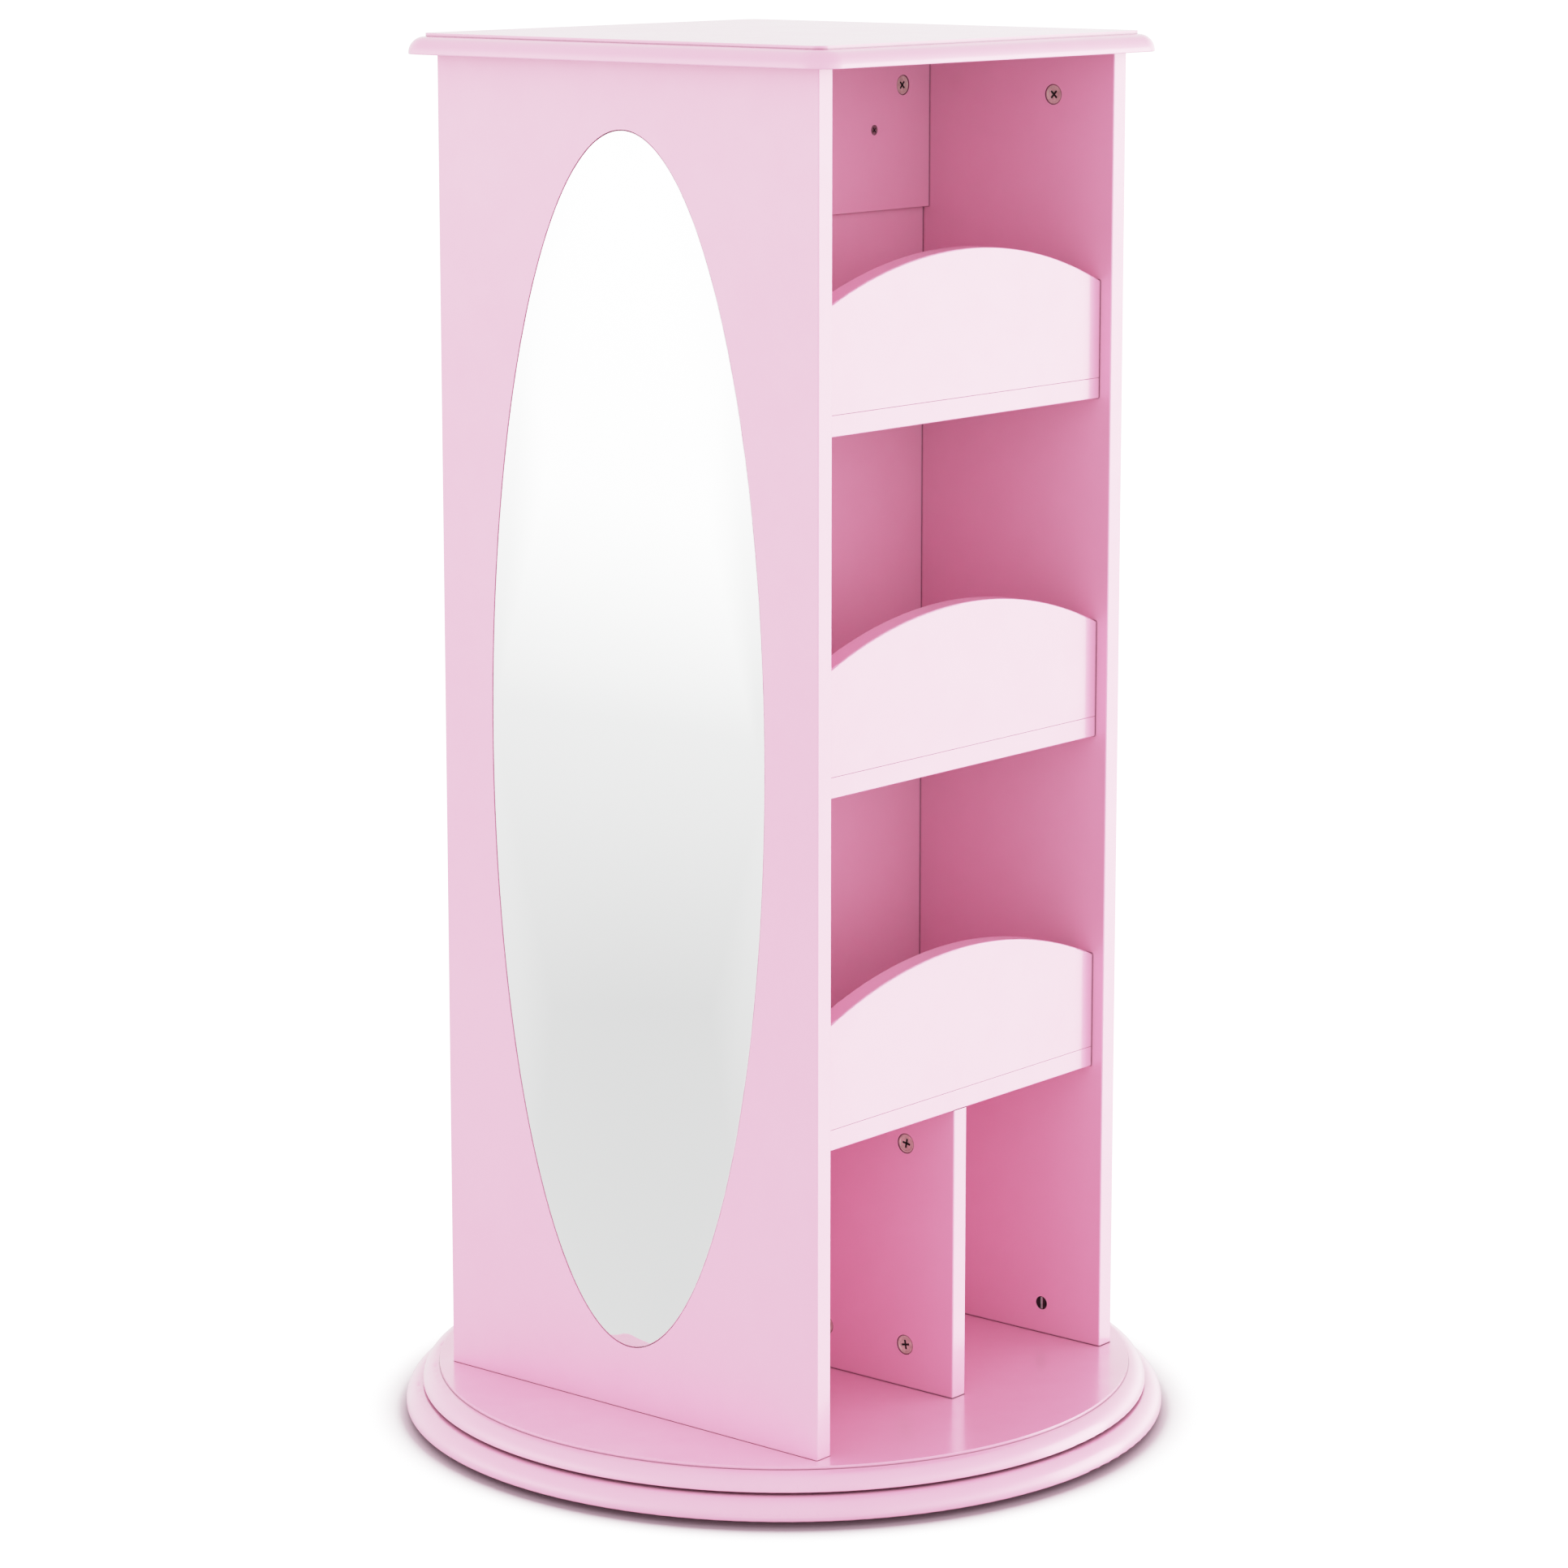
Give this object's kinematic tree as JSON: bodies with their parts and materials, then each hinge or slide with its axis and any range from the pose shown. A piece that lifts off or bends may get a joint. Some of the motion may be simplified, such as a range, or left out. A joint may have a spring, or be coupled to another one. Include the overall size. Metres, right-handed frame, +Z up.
{
  "type": "revolving wardrobe cabinet",
  "caption": "Square child's wardrobe column that spins on a round base: shelves with arched fronts and cubbies on one side, a peg bay behind, and an oval mirror on a side panel.",
  "frame": {"origin": "on the floor, on the axis the cabinet turns about", "axes": "+Z up along the turning axis; the shelves and cubbies face -Y, the hanging bay with the coat pegs faces +Y, the mirror's panel is on -X and the plain panel on +X"},
  "size_m": [0.565, 0.565, 1.017],
  "materials": {
    "pink_paint": "satin pink paint on fibreboard",
    "mirror_glass": "polished",
    "foam_tape": "matte foam",
    "plain_wood": "unfinished beech",
    "glide_plastic": "matte",
    "cage_plastic": "matte",
    "ball_steel": "polished",
    "race_steel": "zinc plated",
    "zinc_steel": "zinc plated",
    "cam_zinc": "dull bronze plated",
    "dark_steel": "dark plated"
  },
  "bodies": {
    "base": {"base_disc": "pink_paint", "floor_glide_1": "glide_plastic", "floor_glide_2": "glide_plastic", "floor_glide_3": "glide_plastic", "floor_glide_4": "glide_plastic", "floor_glide_5": "glide_plastic", "floor_glide_6": "glide_plastic", "glide_screws": "zinc_steel", "lower_bearing_race": "race_steel", "lower_race_screws": "zinc_steel"},
    "ball_ring": {"ball_cage": "cage_plastic", "bearing_balls": "ball_steel"},
    "carousel": {"upper_bearing_race": "race_steel", "upper_race_screws": "zinc_steel", "turntable_disc": "pink_paint", "turntable_bolts": "zinc_steel", "barrel_nuts": "dark_steel", "mirror_side_panel": "pink_paint", "oval_mirror": "mirror_glass", "mirror_tape": "foam_tape", "plain_side_panel": "pink_paint", "centre_rail": "pink_paint", "centre_panel": "pink_paint", "cubby_divider": "pink_paint", "top_board": "pink_paint", "cam_locks": "cam_zinc", "cam_bolts": "zinc_steel", "wooden_dowels": "plain_wood", "front_board_screws": "zinc_steel", "coat_peg_screws": "zinc_steel", "lower_shelf": "pink_paint", "middle_shelf": "pink_paint", "upper_shelf": "pink_paint", "lower_front_board": "pink_paint", "middle_front_board": "pink_paint", "upper_front_board": "pink_paint", "left_coat_peg": "pink_paint", "middle_coat_peg": "pink_paint", "right_coat_peg": "pink_paint"}
  },
  "joints": [
    {"name": "carousel_spin", "type": "hinge", "parent": "base", "child": "carousel", "pos_m": [0, 0, 0.02], "axis": [0, 0, 1], "continuous": true},
    {"name": "ball_ring_spin", "type": "hinge", "parent": "base", "child": "ball_ring", "pos_m": [0, 0, 0.02], "axis": [0, 0, 1], "continuous": true}
  ],
  "couplings": [
    {"joint": "ball_ring_spin", "follows": "carousel_spin", "ratio": 0.5}
  ]
}
